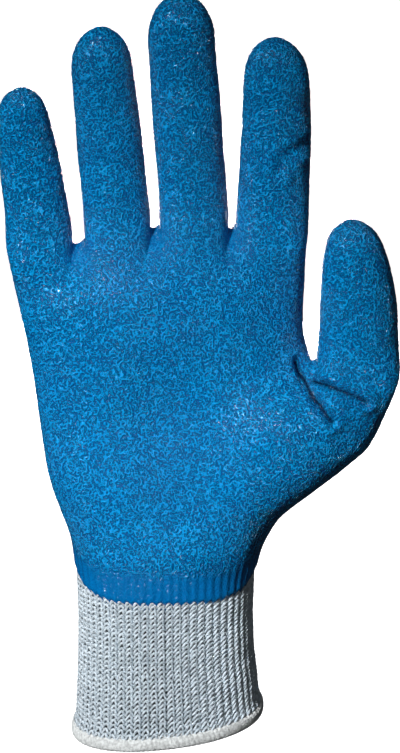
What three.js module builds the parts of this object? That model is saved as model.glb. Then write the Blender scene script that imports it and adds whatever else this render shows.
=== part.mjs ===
// A knitted work glove for the right hand, dipped in crinkled latex, in the shape that it has when worn.
// The knit is made as on a glove machine: finger stalls, the body that joins them, the body that takes
// in the thumb stall, and a ribbed cuff closed by an overlocked hem. The latex is one skin over the palm,
// the sides and the fingertips. Every piece is a hollow wall.
// +Z points to the fingertips, the palm faces -Y, and the thumb is on the +X side. The origin is the
// middle of the wrist opening. Lengths are in millimetres.
import * as THREE from "three";

// Walls and clearances
const latexWall = 1.0;
const knitWall = 1.4;
const cuffWall = 1.6;
const seatGap = 0.3;

// Cuff and hem
const cuffTop = 51.8;
const wristWidth = 62.4;
const wristDepth = 47;
const wristShift = -0.6;
const mouthWidth = 66.4;
const mouthDepth = 52;
const ribPitch = 2.85;
const ribDepth = 0.7;
const hemHeight = 4.4;
const hemThickness = 3.6;
const hemProud = 1.2;
const hemSideTilt = 6.5;
const hemFrontTilt = 9;

// Palm, measured over the latex. palmHeight runs from the wrist opening to the fork between ring finger
// and middle finger, and knuckleWidth goes over the four finger roots.
const palmHeight = 172.2;
const palmDepth = 34;
const knuckleWidth = 101.9;
const knuckleShift = -3.3;
const thumbCrotchHeight = 126.9;
const forkGap = 1.6;
const forkShift = 4.3;
const thumbForward = 10;
const webRise = 4.6;
const dipFront = 47.4;
const dipSide = 58.4;

// Middle finger, measured over the latex, from its forks to its tip and at its pad
const fingerLength = 78.2;
const fingerWidth = 22.9;
const fingerDepth = 19.4;

// Digits, from the little finger to the thumb. root and gap, the space to the next digit, are shares of
// the knuckles' width, fork on the thumb side of palmHeight, pad, deep and long of the middle finger's
// sizes. lean to +X, bow of the middle to +X and curl of the tip to the front are shares of the digit's
// own length.
const digitTable = [
  { name: "little", root: 0.2277, gap: 0.0304, fork: 0.9704, pad: 0.782, deep: 0.835, long: 0.665 },
  { name: "ring", root: 0.2218, gap: 0.0304, fork: 1, pad: 0.913, deep: 0.938, long: 0.893 },
  { name: "middle", root: 0.2287, gap: 0.0177, fork: 0.9988, pad: 1, deep: 1, long: 1 },
  { name: "index", root: 0.2433, gap: 0, fork: 0.9988, pad: 0.974, deep: 0.979, long: 0.816 },
  { name: "thumb", root: 0.2807, gap: 0, fork: 0.737, pad: 0.934, deep: 1.031, long: 0.619 },
];
const digitLean = [
  { lean: -0.106, bow: 0, curl: 0.154 },
  { lean: -0.07, bow: 0, curl: 0.143 },
  { lean: -0.0575, bow: 0, curl: 0.128 },
  { lean: 0.0125, bow: 0.016, curl: 0.141 },
  { lean: -0.05, bow: 0.029, curl: 0.062 },
];
const domeShare = 0.72;

// Mesh density: side points on a digit, rows on its shaft and on its round tip, points round the hem,
// and steps by which an oval is measured
const spokes = 12;
const shaftRows = 6;
const domeRows = 3;
const hemPoints = 40;
const hemSides = 6;
const ovalSteps = 240;

// The shape that every digit follows. up is a share of its length; taper goes from the root's width to
// the pad's; lean is a share of the digit's lean; deep is a share of its depth.
const digitShape = [
  { up: 0, taper: 0, lean: 0, deep: 1.32 },
  { up: 0.1, taper: 0.12, lean: 0.08, deep: 1.12 },
  { up: 0.2, taper: 0.22, lean: 0.2, deep: 1.06 },
  { up: 0.35, taper: 0.3, lean: 0.42, deep: 1.04 },
  { up: 0.5, taper: 0.45, lean: 0.6, deep: 1.02 },
  { up: 0.65, taper: 0.72, lean: 0.8, deep: 1 },
  { up: 0.8, taper: 1, lean: 0.97, deep: 1 },
  { up: 1, taper: 1, lean: 1, deep: 1 },
];

// Body above the thumb. up runs from the thumb's fork to the finger roots; wide is a share of the
// knuckles' width, shift of forkShift, deep of palmDepth.
const upperShape = [
  { up: 0, wide: 0.931, shift: 1, deep: 1.02 },
  { up: 0.2, wide: 0.92, shift: 0.56, deep: 1.02 },
  { up: 0.4, wide: 0.936, shift: 0.35, deep: 1 },
  { up: 0.6, wide: 0.959, shift: 0.24, deep: 0.96 },
  { up: 0.8, wide: 0.98, shift: 0.09, deep: 0.9 },
  { up: 1, wide: 1, shift: 0, deep: 0.8 },
];

// Body below the thumb's fork. up runs from the cuff to the fork; left and right go from the wrist's
// sides to the fork's; deep is a share of palmDepth; forward is a share of thumbForward.
const lowerShape = [
  { up: 0, left: 0, right: 0, deep: 1.38, forward: 0 },
  { up: 0.1, left: 0.045, right: 0.03, deep: 1.35, forward: 0.04 },
  { up: 0.2, left: 0.12, right: 0.09, deep: 1.29, forward: 0.12 },
  { up: 0.3, left: 0.31, right: 0.19, deep: 1.22, forward: 0.25 },
  { up: 0.4, left: 0.48, right: 0.38, deep: 1.17, forward: 0.42 },
  { up: 0.5, left: 0.61, right: 0.59, deep: 1.13, forward: 0.6 },
  { up: 0.6, left: 0.7, right: 0.765, deep: 1.1, forward: 0.76 },
  { up: 0.7, left: 0.775, right: 0.85, deep: 1.07, forward: 0.88 },
  { up: 0.8, left: 0.845, right: 0.9, deep: 1.05, forward: 0.95 },
  { up: 0.9, left: 0.92, right: 0.95, deep: 1.03, forward: 0.99 },
  { up: 1, left: 1, right: 1, deep: 1.02, forward: 1 },
];

// Cuff, from the hem to the wrist: flare goes from the wrist's width to the mouth's, shift moves it
// back to the origin's line.
const cuffShape = [
  { up: 0, flare: 1, shift: 1 },
  { up: 0.2, flare: 0.5, shift: 0.75 },
  { up: 0.42, flare: -0.08, shift: 0.2 },
  { up: 0.7, flare: -0.25, shift: 0 },
  { up: 1, flare: 0, shift: 0 },
];

// Pads and hollows of the palm. across is a share of the knuckles' width from the origin's line, up of
// the thumb crotch's height, spread of the knuckles' width and rise of the palm's depth.
const palmRelief = [
  { name: "thumb pad", across: 0.36, up: 0.755, spread: 0.2, rise: 0.12 },
  { name: "heel pad", across: -0.26, up: 0.685, spread: 0.19, rise: 0.08 },
  { name: "palm hollow", across: 0.02, up: 0.865, spread: 0.17, rise: -0.08 },
  { name: "knuckle pads", across: -0.06, up: 1.235, spread: 0.26, rise: 0.06 },
];

// Folds pressed into the palm side: from one point to another, with across and up as above, and width
// and depth as shares of the knuckles' width and the palm's depth.
const folds = [
  { name: "thumb root fold", from: [0.4, 1.005], to: [0.5, 0.875], width: 0.036, depth: 0.08 },
  { name: "thumb joint fold", from: [0.475, 0.945], to: [0.68, 0.875], width: 0.032, depth: 0.07 },
  { name: "index joint fold", from: [0.46, 1.54], to: [0.37, 1.49], width: 0.035, depth: 0.06 },
];

const radians = THREE.MathUtils.degToRad;
const { lerp, mapLinear, smoothstep } = THREE.MathUtils;
const digits = digitTable.map((row, i) => {
  const length = row.long * fingerLength;
  return {
    name: row.name,
    root: row.root * knuckleWidth,
    gap: row.gap * knuckleWidth,
    crotch: row.fork * palmHeight,
    pad: row.pad * fingerWidth,
    depth: row.deep * fingerDepth,
    length,
    lean: digitLean[i].lean * length,
    bow: digitLean[i].bow * length,
    curl: digitLean[i].curl * length,
  };
});
const fingers = digits.slice(0, 4);
const thumb = digits[4];
const half = spokes / 2;
const columnsPerDigit = half - 1;

// Reads a table at a share of its way, in straight lines between its rows.
function along(table, share, column) {
  const next = Math.max(1, table.findIndex((row) => row.up >= share));
  const [low, high] = [table[next - 1], table[next]];
  return lerp(low[column], high[column], (share - low.up) / (high.up - low.up));
}

function signedPower(value, power) {
  return Math.sign(value) * Math.abs(value) ** power;
}

// A point of a rounded oval, squareness 2 being an ellipse. The angle starts at the left side and runs
// over the palm side.
function ovalPoint(angle, halfWidth, halfDepth, squareness) {
  const power = 2 / squareness;
  return {
    x: -halfWidth * signedPower(Math.cos(angle), power),
    y: -halfDepth * signedPower(Math.sin(angle), power),
  };
}

// The points of an oval's palm half, evenly spaced, with both sides included.
function evenHalfOval(intervals, halfWidth, halfDepth, squareness) {
  const fine = Array.from({ length: ovalSteps + 1 }, (_, i) =>
    ovalPoint((Math.PI * i) / ovalSteps, halfWidth, halfDepth, squareness),
  );
  const travelled = [0];
  for (let i = 1; i < fine.length; i++) {
    travelled.push(travelled[i - 1] + Math.hypot(fine[i].x - fine[i - 1].x, fine[i].y - fine[i - 1].y));
  }
  return Array.from({ length: intervals + 1 }, (_, step) => {
    const wanted = (travelled.at(-1) * step) / intervals;
    const i = Math.max(1, travelled.findIndex((d) => d >= wanted - 1e-9));
    const share = (wanted - travelled[i - 1]) / (travelled[i] - travelled[i - 1]);
    return { x: lerp(fine[i - 1].x, fine[i].x, share), y: lerp(fine[i - 1].y, fine[i].y, share) };
  });
}

// The glove's skin: its outline over the latex, as points and faces that the walls are laid under.
const points = [];
const faces = [];

function addPoint(x, y, z) {
  points.push(new THREE.Vector3(x, y, z));
  return points.length - 1;
}

function addFace(corners, region, coated) {
  faces.push({ corners, region, coated });
}

// Joins two rings of as many points, the lower one first. isCoated says which of its steps wear latex.
function addBand(lower, upper, region, isCoated) {
  lower.forEach((point, i) => {
    const next = (i + 1) % lower.length;
    addFace([point, lower[next], upper[next], upper[i]], region, isCoated(i));
  });
}

// Each digit's place at its root, from left to right, with the thumb beside the body at its fork.
function placeDigits() {
  let edge = knuckleShift - knuckleWidth / 2;
  fingers.forEach((digit, i) => {
    digit.rootX = edge + digit.root / 2;
    digit.rootY = 0;
    digit.leftCrotch = i ? fingers[i - 1].crotch : digit.crotch;
    edge += digit.root + digit.gap;
  });
  const fork = upperShape[0];
  thumb.crotch = thumbCrotchHeight;
  thumb.leftCrotch = thumbCrotchHeight;
  thumb.rootX = knuckleShift + forkShift + (fork.wide * knuckleWidth) / 2 + forkGap + thumb.root / 2;
  thumb.rootY = -thumbForward;
}

// One ring of a digit, at a share of its length, made narrower by the round tip.
function digitRing(digit, share, narrowed) {
  const taper = along(digitShape, share, "taper");
  const halfWidth = (narrowed * lerp(digit.root, digit.pad, taper)) / 2;
  const halfDepth = (narrowed * digit.depth * along(digitShape, share, "deep")) / 2;
  const squareness = lerp(3.6, 2.2, smoothstep(share, 0, 0.2));
  const bend = digit.bow * Math.sin(Math.PI * share);
  const middle = {
    x: digit.rootX + digit.lean * along(digitShape, share, "lean") + bend,
    y: digit.rootY - digit.curl * share ** 1.6,
    z: (digit.leftCrotch + digit.crotch) / 2 + digit.length * share,
  };
  return Array.from({ length: spokes }, (_, spoke) => {
    const angle = (2 * Math.PI * spoke) / spokes;
    const p = ovalPoint(angle, halfWidth, halfDepth, squareness);
    const slope = ((digit.crotch - digit.leftCrotch) / 2) * -Math.cos(angle);
    const rise = slope - webRise * Math.abs(Math.sin(angle));
    return addPoint(middle.x + p.x, middle.y + p.y, middle.z + rise * (1 - share) ** 4);
  });
}

// A digit's stall: its shaft, its round tip and the one point that closes it. Latex covers the palm
// side, both sides, and the whole tip.
function addDigit(digit) {
  const dome = (domeShare * digit.pad) / digit.length;
  const rings = [];
  for (let row = 0; row <= shaftRows; row++) {
    const share = row / shaftRows;
    rings.push(digitRing(digit, (1 - dome) * share ** 1.15, 1));
  }
  for (let row = 1; row <= domeRows; row++) {
    const height = Math.sin((Math.PI / 2) * (row / (domeRows + 0.6)));
    rings.push(digitRing(digit, 1 - dome * (1 - height), Math.sqrt(1 - height ** 2.25)));
  }
  const region = `stall_${digit.name}`;
  rings.slice(1).forEach((ring, i) => {
    const onTip = i >= shaftRows;
    addBand(rings[i], ring, region, (spoke) => onTip || spoke <= half || spoke === spokes - 1);
  });
  const last = rings.at(-1);
  const pole = addPoint(
    digit.rootX + digit.lean,
    digit.rootY - digit.curl,
    (digit.leftCrotch + digit.crotch) / 2 + digit.length,
  );
  last.forEach((point, i) => addFace([point, last[(i + 1) % spokes], pole], region, true));
  digit.rootRing = rings[0];
}

// The saddle between two neighbours, in two faces that meet on its crest.
function addWeb(left, right, region) {
  addFace([left.front, right.front, right.side, left.side], region, true);
  addFace([right.back, left.back, left.side, right.side], region, true);
}

const leftEdge = (ring) => ({ front: ring[1], back: ring[spokes - 1], side: ring[0] });
const rightEdge = (ring) => ({ front: ring[half - 1], back: ring[half + 1], side: ring[half] });

// A body ring runs from the left side over the palm columns to the right side and back behind.
function rootsRing(list) {
  const front = list.flatMap((digit) => digit.rootRing.slice(1, half));
  const back = list.toReversed().flatMap((digit) => digit.rootRing.slice(half + 1));
  return [list[0].rootRing[0], ...front, list.at(-1).rootRing[half], ...back];
}

const forkLeft = knuckleShift + forkShift - (upperShape[0].wide * knuckleWidth) / 2;

// Lays an even oval out as a body ring: palm half, then back half.
function ovalRing(columns, halfWidth, halfDepth, squareness) {
  const palm = evenHalfOval(columns + 1, halfWidth, halfDepth, squareness);
  const behind = palm.slice(1, -1).toReversed().map((p) => ({ x: p.x, y: -p.y }));
  return [...palm, ...behind];
}

function addUpperBody() {
  const top = rootsRing(fingers);
  const columns = columnsPerDigit * fingers.length;
  let lower = null;
  for (const row of upperShape) {
    const halfWidth = (row.wide * knuckleWidth) / 2;
    const middle = knuckleShift + forkShift * row.shift;
    const oval = ovalRing(columns, halfWidth, (row.deep * palmDepth) / 2, 2.7);
    const blend = smoothstep(row.up, 0.45, 1);
    const ring = row.up === 1 ? top : oval.map((p, i) => {
      const goal = points[top[i]];
      return addPoint(
        lerp(middle + p.x, middle + row.wide * (goal.x - knuckleShift), blend),
        lerp(p.y, goal.y, blend),
        lerp(thumbCrotchHeight, goal.z, row.up),
      );
    });
    if (lower) addBand(lower, ring, "upper_body", (i) => i <= columns + 1 || i === ring.length - 1);
    else forkRing = ring;
    lower = ring;
  }
  for (let i = 1; i < fingers.length; i++) {
    addWeb(rightEdge(fingers[i - 1].rootRing), leftEdge(fingers[i].rootRing), "upper_body");
  }
}

let forkRing = [];
const lowerColumns = columnsPerDigit * digits.length;

// The left and right side of the lower body at a share of its height.
function lowerSides(share) {
  return [
    lerp(wristShift - wristWidth / 2, forkLeft, along(lowerShape, share, "left")),
    lerp(wristShift + wristWidth / 2, thumb.rootX + thumb.root / 2, along(lowerShape, share, "right")),
  ];
}

// The lower body's oval at a share of its height, before it parts into palm and thumb.
function lowerOval(share) {
  const [left, right] = lowerSides(share);
  const deep = palmDepth * along(lowerShape, share, "deep");
  const halfDepth = lerp(wristDepth, deep, smoothstep(share, 0, 0.3)) / 2;
  const squareness = lerp(2.2, 2.6, share);
  return ovalRing(lowerColumns, (right - left) / 2, halfDepth, squareness).map((p) => {
    const across = 0.5 + p.x / (right - left);
    const ahead = thumbForward * along(lowerShape, share, "forward") * smoothstep(across, 0.5, 0.92);
    return { x: (left + right) / 2 + p.x, y: p.y - ahead };
  });
}

// The lowest edge of the latex: level over the palm side, and climbing where it leaves the sides.
function dipHeight(y) {
  const share = Math.max(0, (y + wristDepth / 2) / (wristDepth / 2));
  return dipFront + (dipSide - dipFront) * share ** 1.6;
}

const sharedFrom = 0.2;

function addLowerBody() {
  const palmColumns = lowerColumns - columnsPerDigit;
  const [front, side, back] = forkRing.slice(palmColumns);
  const top = [
    ...forkRing.slice(0, palmColumns + 1),
    ...thumb.rootRing.slice(1),
    ...forkRing.slice(palmColumns + 2),
  ];
  const isCoated = (i) => i <= lowerColumns + 1 || i === top.length - 1;
  const height = (share) => lerp(cuffTop, thumbCrotchHeight, share);
  let lower = null;
  for (const row of lowerShape) {
    const blend = smoothstep(row.up, 0.5, 1);
    const sides = lowerSides(row.up);
    const ring = row.up === 1 ? top : lowerOval(row.up).map((p, i) => {
      const goal = points[top[i]];
      const goalX = mapLinear(goal.x, ...lowerSides(1), ...sides);
      const sag = (goal.z - thumbCrotchHeight) * blend;
      return addPoint(lerp(p.x, goalX, blend), lerp(p.y, goal.y, blend), height(row.up) + sag);
    });
    if (lower) addBand(lower, ring, "lower_body", (i) => row.up > sharedFrom && isCoated(i));
    if (row.up === sharedFrom) addLatexEdge(ring);
    lower = ring;
  }
  addWeb({ front, side, back }, leftEdge(thumb.rootRing), "lower_body");
}

// Below the rows that knit and latex share, the latex runs on over the top of the cuff.
function addLatexEdge(shared) {
  const wrist = lowerOval(0);
  const strip = [...Array(lowerColumns + 3).keys()].map((i) => (i + shared.length - 1) % shared.length);
  let upper = strip.map((i) => shared[i]);
  for (const down of [0.5, 1]) {
    const lower = strip.map((i) => {
      const top = points[shared[i]];
      const z = lerp(top.z, dipHeight(wrist[i].y), down);
      const oval = lowerOval(Math.max(0, (z - cuffTop) / (thumbCrotchHeight - cuffTop)));
      return addPoint(oval[i].x, oval[i].y, z);
    });
    for (let i = 1; i < lower.length; i++) {
      addFace([lower[i - 1], lower[i], upper[i], upper[i - 1]], "latex_edge", true);
    }
    upper = lower;
  }
}

function distanceToFold(p, fold) {
  const [from, to] = [fold.from, fold.to].map(
    ([across, up]) => new THREE.Vector3(across * knuckleWidth, 0, up * thumbCrotchHeight),
  );
  const flat = new THREE.Vector3(p.x, 0, p.z);
  return new THREE.Line3(from, to).closestPointToPoint(flat, true, new THREE.Vector3()).distanceTo(flat);
}

// Moves the palm side out over the pads, and in at the hollow and the folds.
function shapePalm(normals) {
  points.forEach((p, i) => {
    const facing = smoothstep(-normals[i].y, 0, 0.7);
    let rise = 0;
    for (const pad of palmRelief) {
      const away = Math.hypot(p.x - pad.across * knuckleWidth, p.z - pad.up * thumbCrotchHeight);
      rise += pad.rise * palmDepth * Math.exp(-((away / (pad.spread * knuckleWidth)) ** 2));
    }
    for (const fold of folds) {
      const away = distanceToFold(p, fold) / (fold.width * knuckleWidth);
      rise -= fold.depth * palmDepth * Math.exp(-(away ** 2));
    }
    p.addScaledVector(normals[i], rise * facing);
  });
}

function skinNormals() {
  const normals = points.map(() => new THREE.Vector3());
  for (const { corners } of faces) {
    const [a, b, c, d] = corners.map((i) => points[i]);
    const normal = new THREE.Vector3().crossVectors(c.clone().sub(a), (d ?? a).clone().sub(b));
    corners.forEach((i) => normals[i].add(normal));
  }
  return normals.map((normal) => normal.normalize());
}

// Turns some of the skin's faces into a wall: an outer and an inner surface at two depths under the
// skin, joined round every open edge. inset draws the open edges in along the skin.
function wall(chosen, depthOut, depthIn, normals, inset) {
  const edges = new Map();
  for (const { corners } of chosen) {
    corners.forEach((a, i) => {
      const b = corners[(i + 1) % corners.length];
      edges.set(`${a} ${b}`, [a, b]);
    });
  }
  const open = [...edges.values()].filter(([a, b]) => !edges.has(`${b} ${a}`));
  const rim = new Set(open.flat());
  const inward = new Map([...rim].map((i) => [i, new THREE.Vector3()]));
  for (const [a, b] of open) {
    const aside = new THREE.Vector3().crossVectors(normals[a], points[b].clone().sub(points[a])).normalize();
    inward.get(a).add(aside);
    inward.get(b).add(aside);
  }
  const corners = [];
  const cornerOf = new Map();
  function corner(i, depth) {
    const key = `${i} ${depth}`;
    if (!cornerOf.has(key)) {
      const p = points[i].clone().addScaledVector(normals[i], -depth);
      if (inward.has(i)) p.addScaledVector(inward.get(i).clone().normalize(), inset);
      cornerOf.set(key, corners.push(p) - 1);
    }
    return cornerOf.get(key);
  }
  const triangles = [];
  const fan = (list) => list.slice(2).forEach((_, i) => triangles.push(list[0], list[i + 1], list[i + 2]));
  for (const face of chosen) {
    fan(face.corners.map((i) => corner(i, depthOut)));
    const [a, b, c, d] = face.corners.map((i) => corner(i, depthIn));
    fan(d === undefined ? [a, c, b] : [a, d, c, b]);
  }
  for (const [a, b] of open) {
    const across = [corner(b, depthOut), corner(a, depthOut), corner(a, depthIn), corner(b, depthIn)];
    fan(a < b ? across : [...across.slice(1), across[0]]);
  }
  return solidFrom(corners, triangles);
}

function solidFrom(corners, triangles) {
  const geometry = new THREE.BufferGeometry().setFromPoints(corners);
  geometry.setIndex(triangles);
  geometry.computeVertexNormals();
  return geometry;
}

// A wall or bead swept round the wrist: rings of points, each ring one step along its closed section.
function sweptRings(rings) {
  const count = rings[0].length;
  const triangles = [];
  rings.forEach((ring, r) => {
    const next = (r + 1) % rings.length;
    for (let i = 0; i < count; i++) {
      const j = (i + 1) % count;
      const [a, b, c, d] = [r * count + i, r * count + j, next * count + j, next * count + i];
      triangles.push(a, b, c, a, c, d);
    }
  });
  return solidFrom(rings.flat(), triangles);
}

const underLatex = latexWall + seatGap;

// A point of the cuff at an angle round the wrist, a share of its height, and a depth under the skin.
function cuffPoint(angle, share, depth) {
  const flare = along(cuffShape, share, "flare");
  const halfWidth = lerp(wristWidth, mouthWidth, flare) / 2 - depth;
  const halfDepth = lerp(wristDepth, mouthDepth, flare) / 2 - depth;
  const p = ovalPoint(angle, halfWidth, halfDepth, 2.2);
  const x = p.x + wristShift * (1 - along(cuffShape, share, "shift"));
  const tilt = x * Math.tan(radians(hemSideTilt)) + p.y * Math.tan(radians(hemFrontTilt));
  const low = hemHeight + seatGap + tilt;
  return new THREE.Vector3(x, p.y, lerp(low, cuffTop - seatGap / 2, share));
}

function ribbedCuff() {
  const girth = Math.PI * (wristWidth + wristDepth) / 2;
  const ribs = Math.round(girth / ribPitch);
  const ring = (share, depth, relief) =>
    Array.from({ length: 2 * ribs }, (_, i) =>
      cuffPoint((Math.PI * i) / ribs, share, depth + (i % 2 ? relief : 0)),
    );
  const outer = cuffShape.map((row) => ring(row.up, underLatex, ribDepth));
  const lining = cuffShape.filter((row, r) => r % 2 === 0).toReversed();
  const inner = lining.map((row) => ring(row.up, underLatex + ribDepth + cuffWall, 0));
  return sweptRings([...outer, ...inner]);
}

// The overlocked edge: a bead that stands proud of the cuff.
function overlockedHem() {
  const middleDepth = underLatex - hemProud + hemThickness / 2;
  const rings = Array.from({ length: hemSides }, (_, side) => {
    const turn = (2 * Math.PI * side) / hemSides;
    const { x: out, y: up } = ovalPoint(turn, hemThickness / 2, hemHeight / 2, 2.8);
    return Array.from({ length: hemPoints }, (_, i) => {
      const p = cuffPoint((2 * Math.PI * i) / hemPoints, 0, middleDepth + out);
      p.z += -seatGap - hemHeight / 2 - up;
      return p;
    });
  });
  return sweptRings(rings);
}

placeDigits();
digits.forEach(addDigit);
addUpperBody();
addLowerBody();
shapePalm(skinNormals());
const normals = skinNormals();

const glove = new THREE.Group();

function addPiece(name, geometry, material) {
  const mesh = new THREE.Mesh(geometry, material);
  mesh.name = name;
  glove.add(mesh);
}

const latexBlue = new THREE.MeshStandardMaterial({ color: 0x0a63b0, roughness: 0.42, metalness: 0 });
const knitGrey = new THREE.MeshStandardMaterial({ color: 0xb9c2c9, roughness: 0.95, metalness: 0 });
const ribGrey = new THREE.MeshStandardMaterial({ color: 0xaeb8c0, roughness: 0.95, metalness: 0 });
const threadCream = new THREE.MeshStandardMaterial({ color: 0xd9d6cb, roughness: 0.9, metalness: 0 });

const regions = [...digits.map((digit) => `stall_${digit.name}`), "upper_body", "lower_body"];
for (const region of regions) {
  const knit = faces.filter((face) => face.region === region);
  addPiece(region, wall(knit, underLatex, underLatex + knitWall, normals, seatGap / 2), knitGrey);
}
addPiece("latex_coating", wall(faces.filter((face) => face.coated), 0, latexWall, normals, 0), latexBlue);
addPiece("rib_cuff", ribbedCuff(), ribGrey);
addPiece("overlock_hem", overlockedHem(), threadCream);

export default glove;
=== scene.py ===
# A knitted work glove dipped in crinkled latex, seen from the palm in the shape that it has on a hand.
# The sections follow the making: the knitted liner with its finger stalls, the ribbed cuff, the
# overlocked hem, the latex coat that is dipped over them, and then the studio.
import math

import bpy
import numpy as np
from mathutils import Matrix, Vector, noise
from mathutils.bvhtree import BVHTree


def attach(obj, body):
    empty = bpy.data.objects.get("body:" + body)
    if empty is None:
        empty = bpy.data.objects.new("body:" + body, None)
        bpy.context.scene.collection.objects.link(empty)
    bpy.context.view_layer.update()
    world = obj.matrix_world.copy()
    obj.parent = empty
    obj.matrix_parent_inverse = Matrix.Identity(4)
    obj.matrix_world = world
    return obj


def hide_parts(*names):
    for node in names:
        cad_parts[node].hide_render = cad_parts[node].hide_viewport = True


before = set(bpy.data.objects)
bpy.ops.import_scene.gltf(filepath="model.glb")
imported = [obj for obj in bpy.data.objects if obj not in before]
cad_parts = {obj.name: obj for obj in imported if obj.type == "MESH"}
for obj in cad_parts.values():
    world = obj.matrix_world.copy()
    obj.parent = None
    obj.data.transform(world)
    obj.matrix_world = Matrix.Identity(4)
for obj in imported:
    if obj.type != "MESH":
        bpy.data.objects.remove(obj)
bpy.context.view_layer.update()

# The skin is the glove's outer form, on which both the knit and the latex lie. It is a net of rings
# round each finger and round the palm above and below the thumb's fork, with saddles between the
# fingers. Subdivision rounds it. Sizes are in millimetres.
CUFF_TOP = 51.8
WRIST_WIDTH = 62.4
WRIST_DEPTH = 47.0
WRIST_SHIFT = -0.6
PALM_DEPTH = 34.0
KNUCKLE_SHIFT = -3.3
FORK_HEIGHT = 126.9
FORK_GAP = 1.6
FORK_SHIFT = 4.3
THUMB_FORWARD = 10.0
WEB_DROP = 7.5
WEB_TILT = 0.9
WEB_SPREAD = 13
WEB_ROUNDNESS = 0.65
DOME_SHARE = 0.72
DOME_ROUNDNESS = 2.15
ROOT_SQUARENESS = 3.2
TIP_SQUARENESS = 2.2
CURL_POWER = 1.6
SPOKES = 16
HALF = SPOKES // 2

# The latex closes over the back of a digit between these shares of its length. There the count of
# columns round the back drops by more than the back has.
CAP_FROM = 0.66
CAP_TO = 0.76
CAP_COLUMNS = 12

digit_columns = ("name", "root", "pad", "depth", "length", "crotch", "gap", "lean", "bow", "curl")
digit_rows = [
    ("little", 23.2, 17.9, 16.2, 52.0, 167.1, 3.1, -5.5, 0.0, 8.0),
    ("ring", 22.6, 20.9, 18.2, 69.8, 172.2, 3.1, -4.9, 0.0, 10.0),
    ("middle", 23.3, 22.9, 19.4, 78.2, 172.0, 1.8, -4.5, 0.0, 10.0),
    ("index", 24.8, 22.3, 19.0, 63.8, 172.0, 0.0, 0.8, 1.0, 9.0),
    ("thumb", 28.6, 21.4, 20.0, 48.4, FORK_HEIGHT, 0.0, -2.4, 1.4, 3.0),
]
digits = [dict(zip(digit_columns, row)) for row in digit_rows]
fingers, thumb = digits[:4], digits[4]
knuckle_width = sum(digit["root"] + digit["gap"] for digit in fingers)

# Shares along a digit, from its root to its tip.
DIGIT_UP = (0, 0.1, 0.2, 0.35, 0.5, 0.65, 0.8, 1)
DIGIT_TAPER = (0, 0.12, 0.22, 0.3, 0.45, 0.72, 1, 1)
DIGIT_LEAN = (0, 0.08, 0.2, 0.42, 0.6, 0.8, 0.97, 1)
DIGIT_DEEP = (1.32, 1.12, 1.06, 1.04, 1.02, 1, 1, 1)

# Shares up the palm above the fork: width of the knuckles' width, sideways shift, and depth.
UPPER_UP = (0, 0.2, 0.4, 0.6, 0.8, 1)
UPPER_WIDE = (0.931, 0.92, 0.936, 0.959, 0.98, 1)
UPPER_SHIFT = (1, 0.56, 0.35, 0.24, 0.09, 0)
UPPER_DEEP = (1.02, 1.02, 1, 0.96, 0.9, 0.8)

# Shares up the palm below the fork: how far each side has gone from the wrist's to the fork's.
LOWER_UP = (0, 0.1, 0.2, 0.3, 0.4, 0.5, 0.6, 0.7, 0.8, 0.9, 1)
LOWER_LEFT = (0, 0.045, 0.12, 0.31, 0.48, 0.61, 0.7, 0.775, 0.845, 0.92, 1)
LOWER_RIGHT = (0, 0.03, 0.09, 0.19, 0.38, 0.59, 0.765, 0.85, 0.9, 0.95, 1)
LOWER_DEEP = (1.38, 1.35, 1.29, 1.22, 1.17, 1.13, 1.1, 1.07, 1.05, 1.03, 1.02)
LOWER_FORWARD = (0, 0.04, 0.12, 0.25, 0.42, 0.6, 0.76, 0.88, 0.95, 0.99, 1)

# Pads and hollows of the palm: place across and up, spread and rise.
palm_relief = [
    (36.6, 95.8, 20.4, 4.1),
    (-26.5, 86.9, 19.4, 2.7),
    (2.0, 109.8, 17.3, -2.7),
    (-6.1, 156.7, 26.5, 2.0),
]


def smoothstep(value, low, high):
    share = np.clip((value - low) / (high - low), 0, 1)
    return share * share * (3 - 2 * share)


def lerp(low, high, share):
    return low + (high - low) * share


def oval_point(angle, half_width, half_depth, squareness):
    """A point of a rounded oval, from the left side over the palm."""
    across, ahead = math.cos(angle), math.sin(angle)
    power = 2 / squareness
    return (
        -half_width * math.copysign(abs(across) ** power, across),
        -half_depth * math.copysign(abs(ahead) ** power, ahead),
    )


def oval_ring(columns, half_width, half_depth, squareness):
    """An oval's palm half and back half, with evenly spaced points."""
    steps = 240
    turns = [math.pi * i / steps for i in range(steps + 1)]
    fine = np.array([oval_point(turn, half_width, half_depth, squareness) for turn in turns])
    travelled = np.concatenate([[0], np.cumsum(np.hypot(*np.diff(fine, axis=0).T))])
    wanted = np.linspace(0, travelled[-1], columns + 2)
    palm = np.column_stack([np.interp(wanted, travelled, fine[:, axis]) for axis in (0, 1)])
    back = palm[-2:0:-1] * (1, -1)
    return np.vstack([palm, back])


net_points, net_faces, net_behind = [], [], []


def add_point(x, y, z, behind):
    """A corner of the net. behind counts the columns that it lies round onto the back."""
    net_points.append((x, y, z))
    net_behind.append(behind)
    return len(net_points) - 1


def add_band(lower, upper):
    for i in range(len(lower)):
        j = (i + 1) % len(lower)
        net_faces.append((lower[i], lower[j], upper[j], upper[i]))


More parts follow.
